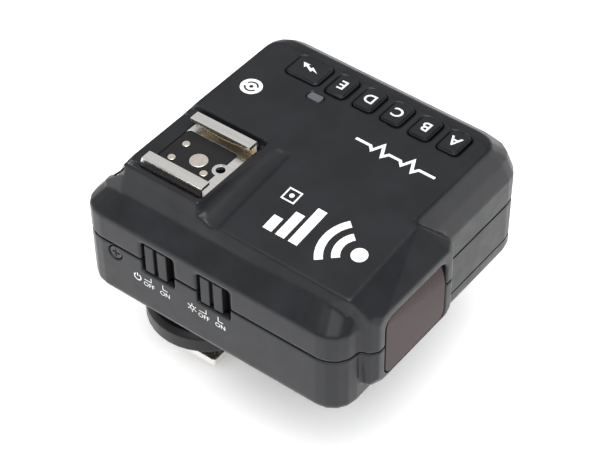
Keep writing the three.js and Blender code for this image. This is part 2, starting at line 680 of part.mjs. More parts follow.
// Leaf spring under a lip, bowed down into the channel.
function shoeSpring(side) {
  const inner = shoeLipGap / 2 + 0.3;
  const outer = shoeChannelWidth / 2 - 0.1;
  const half = shoeLength / 2 - 1;
  const ends = shoeChannelHeight - 0.05;
  const leaf = new THREE.Shape();
  leaf.moveTo(-half, ends);
  leaf.quadraticCurveTo(0, ends - 2 * shoeSpringBow, half, ends);
  leaf.lineTo(half, ends - shoeSpringThickness);
  leaf.quadraticCurveTo(0, ends - shoeSpringThickness - 2 * shoeSpringBow, -half, ends - shoeSpringThickness);
  leaf.closePath();
  const options = { depth: outer - inner, bevelEnabled: false, curveSegments: 8 };
  const geometry = new THREE.ExtrudeGeometry(leaf, options);
  const turn = new THREE.Matrix4().makeBasis(
    new THREE.Vector3(0, 1, 0), new THREE.Vector3(0, 0, 1), new THREE.Vector3(1, 0, 0));
  geometry.applyMatrix4(turn);
  geometry.translate(side > 0 ? inner : -outer, 0, 0);
  return geometry;
}

// A key: a cap with round corners and a low crown, on a wider foot that keeps it in the case.
function keyShape(length, y) {
  const capTop = topZ - 0.1 + keyRise;
  const foot = keyBoardZ + boardThickness + 0.3 + keyTravel + fallAt(y);
  const cap = plate(keyWidth, length, keyCorner, 0, 0, foot, capTop - 0.35);
  const crown = plate(keyWidth - 0.7, length - 0.7, keyCorner - 0.3, 0, 0, capTop - 0.4, capTop);
  return unite(cap, crown);
}

function addKeys() {
  keyYs.forEach((y, place) => {
    add(body, `button_${keyLetters[place]}`, keyShape(keyLength, y), "key", keyX, y, -fallAt(y));
  });
  add(body, "test_button", keyShape(testKeyLength, testKeyY), "key", keyX, testKeyY, -fallAt(testKeyY));
  const pipe = plateGeometry(lightWidth, lightLength, 0.6, 0, 0, keyBoardZ + boardThickness + 0.3,
    topZ - fallAt(lightY) - 0.02);
  add(body, "status_light_pipe", pipe, "light", lightX, lightY, 0);
}

// Switch knob: a flat slider with two ridges and a groove between them.
function knobShape() {
  const height = slotHeight - 0.8;
  const outer = -knobRise;
  const slider = box(-wall - 0.2, outer - 1.1, -knobLength / 2, knobLength / 2, -height / 2, height / 2);
  const ridgeLength = (knobLength - knobGroove) / 2;
  const ridges = [-1, 1].map((side) => {
    const middle = side * (ridgeLength + knobGroove) / 2;
    return box(outer - 1.2, outer, middle - ridgeLength / 2, middle + ridgeLength / 2,
      -height / 2, height / 2);
  });
  return unite(slider, ...ridges);
}

function addSwitches() {
  slotYs.forEach((y, place) => {
    const name = ["power", "assist"][place];
    const rest = y - slotLength / 2 + switchRestGap + knobLength / 2;
    add(body, `${name}_switch_knob`, knobShape(), "key", sideX, rest, slotMiddleZ);
    const right = sideX - wall - 0.6;
    const housing = box(right - switchBodyDepth, right - 0.1,
      y - slotLength / 2 - 0.8, y + slotLength / 2 + 0.8,
      slotMiddleZ - slotHeight / 2 - 0.8, slotMiddleZ + slotHeight / 2 + 0.8);
    add(body, `${name}_switch_body`, housing, "dark");
  });
  const drive = unite(box(-0.25, 0.25, -1.1, 1.1, -0.4, 1), box(-1.1, 1.1, -0.25, 0.25, -0.4, 1));
  const head = disc(sideScrewRadius, -0.7, 0, 0, 0, 20).subtract(drive);
  const screw = unite(head, disc(0.8, -2.6, -0.65, 0, 0, 12));
  add(body, "side_screw", alongX(screw, 0, 0, 0), "dark", sideX - 0.2, rearY + sideScrewSetback, sideScrewZ);
}

function dialShape() {
  const well = setKeyRadius + 1.1;
  const profile = [[0, 0.4], [dialRadius - 0.5, 0.4], [dialRadius, 0.9], [dialRadius, dialHeight - 0.8],
    [dialRadius - 0.8, dialHeight], [well, dialHeight - 0.5], [well, 1.2], [0, 1.2]];
  const rim = turned(profile, 0, 0, 36);
  const stem = disc(3, -2, 0.6, 0, 0, 20);
  const bore = disc(setKeyRadius + 0.3, 0.9, 8);
  const grooves = Array.from({ length: dialGrip }, (_, place) => {
    const angle = place * 2 * Math.PI / dialGrip;
    const x = (dialRadius + 0.15) * Math.cos(angle);
    const y = (dialRadius + 0.15) * Math.sin(angle);
    return disc(0.45, 0.2, 8, x, y, 6);
  });
  return rim.add(stem).subtract(unite(bore, ...grooves));
}

function addRearPanel() {
  const outer = plate(rearPanelWidth + 2 * rearPanelLip, rearPanelHeight + 2 * rearPanelLip, 2.5, 0, 0,
    -rearPanelThickness, -fitGap);
  const inner = plate(rearPanelWidth - 0.6, rearPanelHeight - 0.6, 1.8, 0, 0, -fitGap - 0.1, 0.3);
  const displayHole = plate(displayWidth + 0.6, displayHeight + 0.6, 1.2, displayX, displayV, -3, 3);
  const dialHole = disc(3.4, -3, 3, dialX, dialV, 24);
  const keyHoles = functionKeyXs.map((x) => {
    return plate(functionKeyWidth + 0.6, functionKeyHeight + 0.6, 1, x, functionRowV, -3, 3);
  });
  const panel = unite(outer, inner).subtract(unite(displayHole, dialHole, ...keyHoles));
  add(rearGroup, "rear_panel", panel, "shell");
  const pane = plateGeometry(displayWidth, displayHeight, 1, 0, 0, 0.25 - displayThickness, 0.25);
  add(rearGroup, "display_window", pane, "display", displayX, displayV, 0);
  const lcdHalfWidth = displayWidth / 2 + 1;
  const lcdHalfHeight = displayHeight / 2 + 0.6;
  const lcd = box(-lcdHalfWidth, lcdHalfWidth, -lcdHalfHeight, lcdHalfHeight, -2.2, 0);
  add(rearGroup, "lcd_module", lcd, "dark", displayX, displayV, -rearPanelThickness - 0.3);
  add(rearGroup, "select_dial", dialShape(), "key", dialX, dialV, 0.3);
  const setKey = [[0, 1.3], [setKeyRadius, 1.3], [setKeyRadius, dialHeight - 0.8],
    [setKeyRadius - 0.5, dialHeight - 0.3], [0, dialHeight - 0.1]];
  add(rearGroup, "set_button", turnedGeometry(setKey), "key", dialX, dialV, 0.1 + keyTravel);
  const encoder = box(-6, 6, -6, 6, -3, 0);
  add(rearGroup, "dial_encoder", encoder, "dark", dialX, dialV, -2.1);
  functionKeyXs.forEach((x, place) => {
    const cap = plateGeometry(functionKeyWidth, functionKeyHeight, 0.8, 0, 0,
      -rearPanelThickness, 0.3 + keyRise);
    add(rearGroup, `function_button_${place + 1}`, cap, "key", x, functionRowV, 0);
  });
}

function addFoot() {
  const insertHole = plate(footInsertWidth + 0.2, footInsertLength + 0.2, 1, 0, 0, -1, footThickness + 1);
  const metal = plate(footWidth, footLength, 0.8, 0, 0, 0, footThickness).subtract(insertHole);
  add(body, "foot_plate", metal, "steel", shoeX, shoeY, 0);
  const pinHoles = footPinPlaces.map(([x, y]) => disc(footPinRadius + 0.1, -1, footThickness + 3, x, y, 12));
  const lockHole = disc(lockHoleRadius + 0.1, -1, 1, 0, lockHoleSetback, 16);
  const insert = plate(footInsertWidth, footInsertLength, 1, 0, 0, 0.3, footThickness)
    .subtract(unite(...pinHoles, lockHole));
  add(body, "foot_insert", insert, "dark", shoeX, shoeY, 0);
  const seat = undersideZ + wall + 0.3;
  const flangeTop = seat + 1.5;
  const flange = turned([[0, footNeckTop - 0.2], [postRadius, footNeckTop - 0.2], [postRadius, seat],
    [postRadius + 2.4, seat], [postRadius + 2.4, flangeTop], [0, flangeTop]]);
  const neck = plate(footNeckWidth, footNeckLength, footNeckRound, 0, 0, footThickness + 0.05, footNeckTop);
  const pinWells = footPinPlaces.map(([x, y]) => disc(footPinRadius + 0.1, 0, 6, x, y, 12));
  add(body, "foot_post", unite(flange, neck).subtract(unite(...pinWells)), "dark", shoeX, shoeY, 0);
  footPinPlaces.forEach(([x, y], place) => {
    const pin = [[0, 0.06], [footPinRadius - 0.3, 0.06], [footPinRadius, 0.35],
      [footPinRadius, 4.6], [0, 4.6]];
    add(body, `foot_pin_${place + 1}`, turnedGeometry(pin, 0, 0, 12), "gold", shoeX + x, shoeY + y, 0);
  });
}

function addLock() {
  const bore = postRadius + ringBoreGap;
  const top = ringBottomZ + ringHeight;
  const ring = [[bore, ringBottomZ], [ringRadius - 0.6, ringBottomZ], [ringRadius, ringBottomZ + 0.6],
    [ringRadius, top - 1.3], [ringRadius - 1.3, top], [ringRadius - 2.6, top], [ringRadius - 2.6, top - 1.6],
    [bore + 1.4, top - 1.6], [bore + 1.4, top - 0.4], [bore, top - 0.4], [bore, ringBottomZ]];
  add(body, "lock_ring", turnedGeometry(ring, 0, 0, 36), "key", shoeX, shoeY, 0);
  const lower = ringBottomZ - 0.1 - washerThickness;
  const neckHole = plate(footNeckWidth + 0.6, footNeckLength + 0.6, footNeckRound + 0.3, 0, 0, 0, 20);
  const washer = disc(washerRadius, lower, ringBottomZ - 0.1).subtract(neckHole);
  add(body, "lock_washer", washer, "steel", shoeX, shoeY, 0);
}

function addInside() {
  const boardLeft = -sideX + wall + 2;
  const boardRight = sideX - wall - 0.6 - switchBodyDepth - 0.8;
  const boardBack = rearY + 13;
  const boardFront = frontY - wall - 2.4;
  const clear = caseScrewPlaces.map(([x, y]) => disc(bossRadius + 0.6, 0, topZ, x, y, 16));
  const board = box(boardLeft, boardRight, boardBack, boardFront, boardZ, boardZ + boardThickness)
    .subtract(unite(...clear));
  add(body, "main_board", board, "board");
  const keyBoard = box(keyX - 6, keyX + 8.6, testKeyY - 6, keyYs[keyCount - 1] + 4.4,
    keyBoardZ, keyBoardZ + boardThickness);
  add(body, "button_board", keyBoard.intersect(mainForm(wall + 0.3)), "board");
  const radioZ = boardZ + boardThickness + 0.1;
  add(body, "radio_module", box(0, 15, 0, 19, 0, 2.2), "steel", creaseX + 2, frontY - 27, radioZ);
  const usbShell = plate(3.2, 9, 1.1, 0, 0, 0, 6.4).subtract(plate(2.4, 8.2, 0.9, 0, 0, -1, 5.6));
  const tongue = plate(0.7, 6.6, 0.3, 0, 0, 0.8, 6);
  add(body, "usb_c_port", alongX(unite(usbShell, tongue), 0, 0, 0), "steel", -sideX + 0.5, usbY, portZ);
  const jackBody = unite(disc(2.1, 0, 2.2, 0, 0, 16), box(-1.6, 1.6, -3, 3, 2.1, 9))
    .subtract(disc(1.25, -1, 8, 0, 0, 12));
  add(body, "sync_jack", alongX(jackBody, 0, 0, 0), "steel", -sideX + 0.5, jackY, portZ);
}

function addBatteries() {
  const pitch = 2 * cellRadius + cellGap;
  const firstX = -sideX + wall + cellSideGap + cellRadius + pitch;
  const halfCell = cellLength / 2;
  for (const [place, direction] of [[0, 1], [1, -1]]) {
    const profile = [[0, -halfCell], [cellRadius - 0.3, -halfCell], [cellRadius, -halfCell + 0.3],
      [cellRadius, halfCell - 1.6], [cellRadius - 0.5, halfCell - 1.1], [2.7, halfCell - 1.1],
      [2.7, halfCell], [0, halfCell]];
    const cell = turnedGeometry(profile, 0, 0, 20);
    cell.rotateX(direction * Math.PI / 2);
    add(body, `aa_cell_${place + 1}`, cell, "cell", firstX - place * pitch, cellY, cellZ);
  }
  const middleX = firstX - cellRadius - cellGap / 2;
  for (const [name, side] of [["battery_contact_front", 1], ["battery_contact_rear", -1]]) {
    const near = side * (halfCell + 0.3);
    const far = near + side * 0.5;
    const sheet = box(-12, 12, Math.min(near, far), Math.max(near, far), -5.2, 5.2);
    add(body, name, sheet, "steel", middleX, cellY, cellZ);
  }
}

function addCaseScrews() {
  caseScrewPlaces.forEach(([x, y], place) => {
    const slotCut = unite(box(-0.3, 0.3, -1.3, 1.3, -1, 0.7), box(-1.3, 1.3, -0.3, 0.3, -1, 0.7));
    const screw = unite(disc(caseScrewHead, 0, 1.4, 0, 0, 16), disc(caseScrewRadius, 1.3, 21, 0, 0, 12))
      .subtract(slotCut);
    add(body, `case_screw_${place + 1}`, screw, "steel", x, y, undersideZ + 2.5);
  });
}

addCase();
addFrontWindow();
addShoe();
addKeys();
addSwitches();
addRearPanel();
addFoot();
addLock();
addInside();
addBatteries();
addCaseScrews();

export default model;
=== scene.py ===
import json
import math

import bpy
from mathutils import Matrix, Vector
from mathutils.bvhtree import BVHTree
from mathutils.geometry import tessellate_polygon


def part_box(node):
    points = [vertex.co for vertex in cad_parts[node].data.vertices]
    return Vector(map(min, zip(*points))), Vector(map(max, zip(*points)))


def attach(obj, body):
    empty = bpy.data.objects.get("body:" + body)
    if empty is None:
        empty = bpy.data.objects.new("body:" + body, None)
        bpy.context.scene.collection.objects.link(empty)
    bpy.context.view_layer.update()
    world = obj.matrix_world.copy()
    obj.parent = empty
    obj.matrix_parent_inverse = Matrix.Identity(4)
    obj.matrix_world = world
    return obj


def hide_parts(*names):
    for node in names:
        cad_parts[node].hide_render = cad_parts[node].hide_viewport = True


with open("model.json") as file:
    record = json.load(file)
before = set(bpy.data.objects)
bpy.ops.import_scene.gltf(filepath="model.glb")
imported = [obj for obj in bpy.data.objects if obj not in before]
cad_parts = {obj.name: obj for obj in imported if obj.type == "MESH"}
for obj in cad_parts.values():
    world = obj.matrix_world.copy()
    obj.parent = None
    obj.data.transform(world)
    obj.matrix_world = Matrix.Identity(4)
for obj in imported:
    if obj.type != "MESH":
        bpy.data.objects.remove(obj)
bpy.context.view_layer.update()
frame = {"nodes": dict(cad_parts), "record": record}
nodes = frame["nodes"]
scene = bpy.context.scene
MM = 0.001

# The frame's origin is under the shoe. The case's middle lies to the left of it and forward, in millimetres.
CASE_X = -14.2
CASE_Y = 19.4
CASE_SIDE = 35  # half the case's width
PANEL_Z = 56  # about the height of the sloping panel
TOP_Z = 58  # and of the rear edge of the top


def case_point(x, y, z):
    """A point given in millimetres from the middle of the case, in the frame's metres."""
    return Vector(((x + CASE_X) * MM, (y + CASE_Y) * MM, z * MM))


# ---------------------------------------------------------------- materials

def start_material(name, base, roughness, metallic=0.0, gloss=0.5):
    material = bpy.data.materials.new(name)
    material.use_nodes = True
    tree = material.node_tree
    shader = tree.nodes["Principled BSDF"]
    shader.inputs["Base Color"].default_value = (*base, 1)
    shader.inputs["Roughness"].default_value = roughness
    shader.inputs["Metallic"].default_value = metallic
    shader.inputs["Specular IOR Level"].default_value = gloss
    place = tree.nodes.new("ShaderNodeTexCoord").outputs["Object"]
    return material, tree, shader, place


def stretched(tree, place, stretch):
    mapping = tree.nodes.new("ShaderNodeMapping")
    mapping.inputs["Scale"].default_value = stretch
    tree.links.new(place, mapping.inputs["Vector"])
    return mapping.outputs["Vector"]


# Most of a noise texture's values lie between these two.
NOISE_LOW, NOISE_HIGH = 0.3, 0.7


def noise(tree, place, size_mm, detail=2.0):
    node = tree.nodes.new("ShaderNodeTexNoise")
    node.inputs["Scale"].default_value = 1000 / size_mm
    node.inputs["Detail"].default_value = detail
    tree.links.new(place, node.inputs["Vector"])
    return node.outputs["Fac"]


def to_range(tree, value, low, high):
    node = tree.nodes.new("ShaderNodeMapRange")
    node.inputs["From Min"].default_value = NOISE_LOW
    node.inputs["From Max"].default_value = NOISE_HIGH
    node.inputs["To Min"].default_value = low
    node.inputs["To Max"].default_value = high
    tree.links.new(value, node.inputs["Value"])
    return node.outputs["Result"]


def colour_between(tree, value, first, second):
    ramp = tree.nodes.new("ShaderNodeValToRGB")
    ramp.color_ramp.elements[0].position = 0.35
    ramp.color_ramp.elements[0].color = (*first, 1)
    ramp.color_ramp.elements[1].position = 0.65
    ramp.color_ramp.elements[1].color = (*second, 1)
    tree.links.new(value, ramp.inputs["Fac"])
    return ramp.outputs["Color"]


def add_bump(tree, shader, height, strength, distance_mm):
    bump = tree.nodes.new("ShaderNodeBump")
    bump.inputs["Strength"].default_value = strength
    bump.inputs["Distance"].default_value = distance_mm * MM
    tree.links.new(height, bump.inputs["Height"])
    tree.links.new(bump.outputs["Normal"], shader.inputs["Normal"])


def plastic(name, base, roughness, grain_mm, strength, spread=0.05, gloss=0.3):
    """Moulded plastic with a spark-eroded grain, slightly uneven in gloss and in depth of colour."""
    material, tree, shader, place = start_material(name, base, roughness, 0.0, gloss)
    lighter = tuple(1.18 * c for c in base)
    darker = tuple(0.86 * c for c in base)
    mottled = colour_between(tree, noise(tree, place, 9, 3), darker, lighter)
    tree.links.new(mottled, shader.inputs["Base Color"])
    uneven = to_range(tree, noise(tree, place, 3.5, 4), roughness - spread, roughness + spread)
    tree.links.new(uneven, shader.inputs["Roughness"])
    add_bump(tree, shader, noise(tree, place, grain_mm, 3), strength, 0.05)
    return material


def metal(name, base, roughness, stretch, strength=0.12):
    """Sheet metal with fine rolling lines along one direction and cloudy changes of gloss."""
    material, tree, shader, place = start_material(name, base, roughness, 1.0)
    lines = noise(tree, stretched(tree, place, stretch), 1.0, 4)
    clouds = noise(tree, place, 2.6, 3)
    cloudy = to_range(tree, clouds, roughness - 0.03, roughness + 0.04)
    tree.links.new(cloudy, shader.inputs["Roughness"])
    darker = tuple(0.92 * c for c in base)
    tree.links.new(colour_between(tree, lines, darker, base), shader.inputs["Base Color"])
    add_bump(tree, shader, lines, strength, 0.008)
    return material


def window_material():
    """Dark red plastic, moulded with fine upright ribs on its inner face."""
    red = (0.03, 0.014, 0.016)
    material, tree, shader, place = start_material("window_red", red, 0.2, 0.0, 0.1)
    ribs = tree.nodes.new("ShaderNodeTexWave")
    ribs.bands_direction = "X"
    ribs.inputs["Scale"].default_value = 220
    ribs.inputs["Distortion"].default_value = 0.3
    tree.links.new(place, ribs.inputs["Vector"])
    blend = colour_between(tree, ribs.outputs["Fac"], (0.03, 0.0125, 0.0145), (0.034, 0.0155, 0.0175))
    tree.links.new(blend, shader.inputs["Base Color"])
    tree.links.new(to_range(tree, noise(tree, place, 6, 3), 0.12, 0.22), shader.inputs["Roughness"])
    return material


def display_material():
    """Switched-off display: near-black glass over a faint grid of dots."""
    material, tree, shader, place = start_material("display_off", (0.012, 0.014, 0.015), 0.12)
    dots = tree.nodes.new("ShaderNodeTexChecker")
    dots.inputs["Scale"].default_value = 3600
    dots.inputs["Color1"].default_value = (0.011, 0.013, 0.014, 1)
    dots.inputs["Color2"].default_value = (0.017, 0.02, 0.021, 1)
    tree.links.new(place, dots.inputs["Vector"])
    tree.links.new(dots.outputs["Color"], shader.inputs["Base Color"])
    tree.links.new(to_range(tree, noise(tree, place, 8, 3), 0.07, 0.15), shader.inputs["Roughness"])
    shader.inputs["Coat Weight"].default_value = 1.0
    shader.inputs["Coat Roughness"].default_value = 0.03
    return material


def board_material():
    """Circuit board: solder mask over straight tracks."""
    material, tree, shader, place = start_material("board_mask", (0.015, 0.09, 0.04), 0.35)
    tracks = tree.nodes.new("ShaderNodeTexBrick")
    tracks.inputs["Scale"].default_value = 260
    tracks.inputs["Mortar Size"].default_value = 0.035
    tracks.inputs["Color1"].default_value = (0.012, 0.075, 0.03, 1)
    tracks.inputs["Color2"].default_value = (0.016, 0.09, 0.038, 1)
    tracks.inputs["Mortar"].default_value = (0.04, 0.2, 0.09, 1)
    tree.links.new(place, tracks.inputs["Vector"])
    tree.links.new(tracks.outputs["Color"], shader.inputs["Base Color"])
    tree.links.new(to_range(tree, noise(tree, place, 4, 3), 0.28, 0.42), shader.inputs["Roughness"])
    return material


def floor_material():
    material, tree, shader, place = start_material("pale_floor", (0.93, 0.93, 0.93), 0.8)
    clouds = noise(tree, place, 160, 3)
    shade = colour_between(tree, clouds, (0.925, 0.925, 0.925), (0.94, 0.94, 0.94))
    tree.links.new(shade, shader.inputs["Base Color"])
    shader.inputs["Emission Color"].default_value = (1, 1, 1, 1)
    shader.inputs["Emission Strength"].default_value = 0.25
    return material


looks = {
    "shell": plastic("shell_black", (0.0112, 0.0118, 0.0138), 0.36, 0.22, 0.28),
    "key": plastic("key_black", (0.0105, 0.011, 0.0125), 0.36, 0.13, 0.12),
    "dark": plastic("dark_plastic", (0.009, 0.009, 0.01), 0.5, 0.2, 0.2),
    "steel": metal("satin_steel", (0.82, 0.8, 0.77), 0.25, (1.2, 0.08, 1.2)),
    "fastener": metal("black_oxide", (0.07, 0.07, 0.075), 0.38, (1, 1, 1)),
    "brass": metal("spring_brass", (0.63, 0.5, 0.3), 0.28, (1.2, 0.1, 1.2)),
    "gold": metal("contact_gold", (0.8, 0.74, 0.66), 0.27, (1, 1, 1)),
    "window": window_material(),
    "display": display_material(),
    "light": plastic("milky_light", (0.11, 0.12, 0.135), 0.3, 0.5, 0.05),
    "board": board_material(),
    "cell": plastic("cell_sleeve", (0.04, 0.11, 0.32), 0.25, 0.8, 0.05),
}
ink = plastic("white_ink", (0.82, 0.82, 0.82), 0.5, 0.1, 0.06)
ink_dark = plastic("dark_ink", (0.014, 0.015, 0.017), 0.45, 0.1, 0.06)
slots = {entry["node"]: entry["material_slot"] for entry in frame["record"]["subparts"]}


def set_material(piece, material):
    piece.data.materials.clear()
    piece.data.materials.append(material)


# ---------------------------------------------------------------- frame pieces kept as they are

FINE_BEVEL = 0.12 * MM
KEY_BEVEL = 0.28 * MM
BEVEL_ANGLE = math.radians(28)  # edges sharper than this are rounded
FLAT_ANGLE = math.radians(1)  # faces that meet at less than this are joined
WELD_DISTANCE = 0.002 * MM
bevel_widths = {
    "lock_ring": 0.3 * MM,
    "af_assist_window": 0.3 * MM,
    "display_window": 0.15 * MM,
    "foot_plate": 0.2 * MM,
    "select_dial": 0.18 * MM,
    "test_button": KEY_BEVEL,
    "power_switch_knob": 0.22 * MM,
    "assist_switch_knob": 0.22 * MM,
}
KEY_LETTERS = "abcde"
for letter in KEY_LETTERS:
    bevel_widths["button_" + letter] = KEY_BEVEL


def smooth_shading():
    """A geometry node group that shades every face smooth."""
    group = bpy.data.node_groups.new("smooth_faces", "GeometryNodeTree")
    group.interface.new_socket("Geometry", in_out="INPUT", socket_type="NodeSocketGeometry")
    group.interface.new_socket("Geometry", in_out="OUTPUT", socket_type="NodeSocketGeometry")
    shade = group.nodes.new("GeometryNodeSetShadeSmooth")
    group.links.new(group.nodes.new("NodeGroupInput").outputs[0], shade.inputs["Geometry"])
    group.links.new(shade.outputs["Geometry"], group.nodes.new("NodeGroupOutput").inputs[0])
    return group


smooth_faces = smooth_shading()


def soften(piece, width):
    """Rounds the edges of a frame piece with modifiers only."""
    weld = piece.modifiers.new("weld", "WELD")
    weld.merge_threshold = WELD_DISTANCE
    flat = piece.modifiers.new("flat", "DECIMATE")
    flat.decimate_type = "DISSOLVE"
    flat.angle_limit = FLAT_ANGLE
    bevel = piece.modifiers.new("edges", "BEVEL")
    bevel.width = width
    bevel.segments = 2
    bevel.limit_method = "ANGLE"
    bevel.angle_limit = BEVEL_ANGLE
    piece.modifiers.new("smooth", "NODES").node_group = smooth_faces
    weighted = piece.modifiers.new("shade", "WEIGHTED_NORMAL")
    weighted.keep_sharp = True


MOULDED = ["top_cover", "bottom_cover", "rear_panel"]
for name, node in nodes.items():
    set_material(node, looks[slots[name]])
    if name not in MOULDED:
        soften(node, bevel_widths.get(name, FINE_BEVEL))

# ---------------------------------------------------------------- covers with soft moulded edges


def moulded(name, body, voxel_mm, rounds, keep):
    """The cover as it leaves the mould: the frame's shape with every edge softly rounded.

    Rounds is how often it is smoothed, and keep is the share of its faces that is kept.
    """
    piece = bpy.data.objects.new(name + "_moulded", nodes[name].data.copy())
    scene.collection.objects.link(piece)
    remesh = piece.modifiers.new("solid", "REMESH")
    remesh.mode = "VOXEL"
    remesh.voxel_size = voxel_mm * MM
    smooth = piece.modifiers.new("edges", "SMOOTH")
    smooth.factor = 0.5
    smooth.iterations = rounds
    thin = piece.modifiers.new("thin", "DECIMATE")
    thin.ratio = keep
    evaluated = piece.evaluated_get(bpy.context.evaluated_depsgraph_get())
    mesh = bpy.data.meshes.new_from_object(evaluated)
    piece.modifiers.clear()
    piece.data = mesh
    mesh.polygons.foreach_set("use_smooth", [True] * len(mesh.polygons))
    set_material(piece, looks["shell"])
    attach(piece, body)
    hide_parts(name)
    return piece


VOXEL = 0.36
FINE_VOXEL = 0.25  # the open battery door hangs 0.15 mm from the bottom cover
top = moulded("top_cover", "housing", VOXEL, 5, 0.45)
bottom = moulded("bottom_cover", "housing", FINE_VOXEL, 8, 0.2)
moulded("rear_panel", "housing", VOXEL, 3, 0.4)

# ---------------------------------------------------------------- prints

bpy.context.view_layer.update()
depsgraph = bpy.context.evaluated_depsgraph_get()


def flat_mesh(parts):
    """Joins flat shapes, each a list of points and a list of faces, in millimetres."""
    points, faces = [], []
    for shape_points, shape_faces in parts:
        start = len(points)
        points += shape_points
        faces += [tuple(start + i for i in face) for face in shape_faces]
    return points, faces


def polygon(outline):
    """A filled outline."""
    triangles = tessellate_polygon([[Vector((u, v, 0)) for u, v in outline]])
    return list(outline), [tuple(t) for t in triangles]


NO_LENGTH = 1e-9
SHARPEST_MITRE = 0.4  # cosine of half a turn, below which a mitre grows no longer


def ribbon(points, width, closed=False):
    """A stroke of even width along a line, with mitred turns."""
    count = len(points)
    left, right = [], []
    for i, (u, v) in enumerate(points):
        before = points[i - 1] if i or closed else points[i]
        after = points[(i + 1) % count] if i < count - 1 or closed else points[i]
        a = Vector((u - before[0], v - before[1]))
        b = Vector((after[0] - u, after[1] - v))
        if a.length < NO_LENGTH:
            a = b
        if b.length < NO_LENGTH:
            b = a
        a, b = a.normalized(), b.normalized()
        middle = (a + b).normalized()
        reach = width / 2 / max(middle.dot(a), SHARPEST_MITRE)
        side = Vector((-middle.y, middle.x)) * reach
        left.append((u + side.x, v + side.y))
        right.append((u - side.x, v - side.y))
    spans = count if closed else count - 1
    faces = [(i, (i + 1) % count, count + (i + 1) % count, count + i) for i in range(spans)]
    return left + right, faces


def arc(radius, start, end, steps=20):
    """Points on an arc about the shape's own middle, from one angle to the other in degrees."""
    angles = [math.radians(start + (end - start) * i / steps) for i in range(steps + 1)]
    return [(radius * math.cos(a), radius * math.sin(a)) for a in angles]


def lettering(text, size, weight=0.0):
    """Plain letters as a flat shape, centred on their own middle."""
    curve = bpy.data.curves.new("letters", "FONT")
    curve.body = text
    curve.size = size
    curve.offset = weight * size
    curve.resolution_u = 4
    holder = bpy.data.objects.new("letters", curve)
    mesh = bpy.data.meshes.new_from_object(holder)
    points = [(v.co.x, v.co.y) for v in mesh.vertices]
    faces = [tuple(p.vertices) for p in mesh.polygons]
    bpy.data.objects.remove(holder)
    bpy.data.curves.remove(curve)
    bpy.data.meshes.remove(mesh)
    us = [p[0] for p in points]
    vs = [p[1] for p in points]
    middle = ((min(us) + max(us)) / 2, (min(vs) + max(vs)) / 2)
    return [(u - middle[0], v - middle[1]) for u, v in points], faces


def moved(shape, du, dv):
    """A flat shape carried to another place in its own plane."""
    return [(u + du, v + dv) for u, v in shape[0]], shape[1]


def surface_of(piece):
    return BVHTree.FromObject(piece, depsgraph)


PRINT_LIFT = 0.035  # millimetres over the surface
SECOND_PRINT_LIFT = 0.06  # for a print that lies on another
CAST_FROM = 5 * MM  # height over the surface from which a print is dropped on it


def print_on(name, shapes, centre, along, up, surface, body, material=ink, lift_mm=PRINT_LIFT):
    """Lays flat shapes on a surface. along and up are the directions of the shapes' own axes."""
    points, faces = flat_mesh(shapes)
    out = along.cross(up).normalized()
    placed = []
    for u, v in points:
        point = centre + along * (u * MM) + up * (v * MM)
        hit = surface.ray_cast(point + out * CAST_FROM, -out)[0]
        placed.append((hit if hit else point) + out * lift_mm * MM)
    mesh = bpy.data.meshes.new(name)
    mesh.from_pydata([tuple(p) for p in placed], [], faces)
    for face in mesh.polygons:
        if face.normal.dot(out) < 0:
            face.flip()
    mesh.update()
    piece = bpy.data.objects.new(name, mesh)
    scene.collection.objects.link(piece)
    set_material(piece, material)
    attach(piece, body)
    return piece


BACK = Vector((0, -1, 0))
FORWARD = Vector((0, 1, 0))
RIGHT = Vector((1, 0, 0))
UP = Vector((0, 0, 1))


def top_middle(node):
    """The middle of a piece's upper face."""
    low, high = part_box(node)
    return Vector(((low.x + high.x) / 2, (low.y + high.y) / 2, high.z))


# Letters on the group keys, and a flash arrow on the test key
KEY_LETTER_SIZE = 4.1
KEY_LETTER_WEIGHT = 0.016


def print_on_key(name, key, shape):
    print_on(name, [shape], top_middle(key), BACK, RIGHT, surface_of(nodes[key]), key)


for letter in KEY_LETTERS:
    shape = lettering(letter.upper(), KEY_LETTER_SIZE, KEY_LETTER_WEIGHT)
    print_on_key("print_" + letter, "button_" + letter, shape)
print_on_key("print_flash", "test_button", polygon([
    (-2.5, 0.55), (-0.9, 0.1), (-0.7, 0.75), (1.2, -0.25), (1.5, 0.3), (2.6, -1.2), (0.7, -1.25),
    (1.0, -0.75), (-0.2, -0.3), (-0.35, -0.85)]))

top_surface = surface_of(top)


def print_on_top(name, shapes, centre, material=ink, lift_mm=PRINT_LIFT):
    print_on(name, shapes, centre, BACK, RIGHT, top_surface, "housing", material, lift_mm)


# White disc with a plain broken ring and dot in it
disc_centre = case_point(-8.8, -23.2, TOP_Z)
print_on_top("print_disc", [polygon(arc(2.65, 0, 350, 35))], disc_centre)
sign = [polygon(arc(0.5, 0, 340, 17))]
sign += [ribbon(arc(1.5, start, start + 140), 0.45) for start in (20, 200)]
print_on_top("print_disc_sign", sign, disc_centre, ink_dark, SECOND_PRINT_LIFT)

# Pulse line between the keys and the sloping panel
pulse = [(-10.6, 0), (-6.4, 0), (-5.4, 1.5), (-3.8, -1.8), (-2.4, 1.1), (-1.4, 0), (1.6, 0), (2.6, 1.5),
         (4.2, -1.8), (5.6, 1.1), (6.6, 0), (10.6, 0)]
print_on_top("print_pulse", [ribbon(pulse, 0.75)], case_point(-9.4, 16.5, TOP_Z))

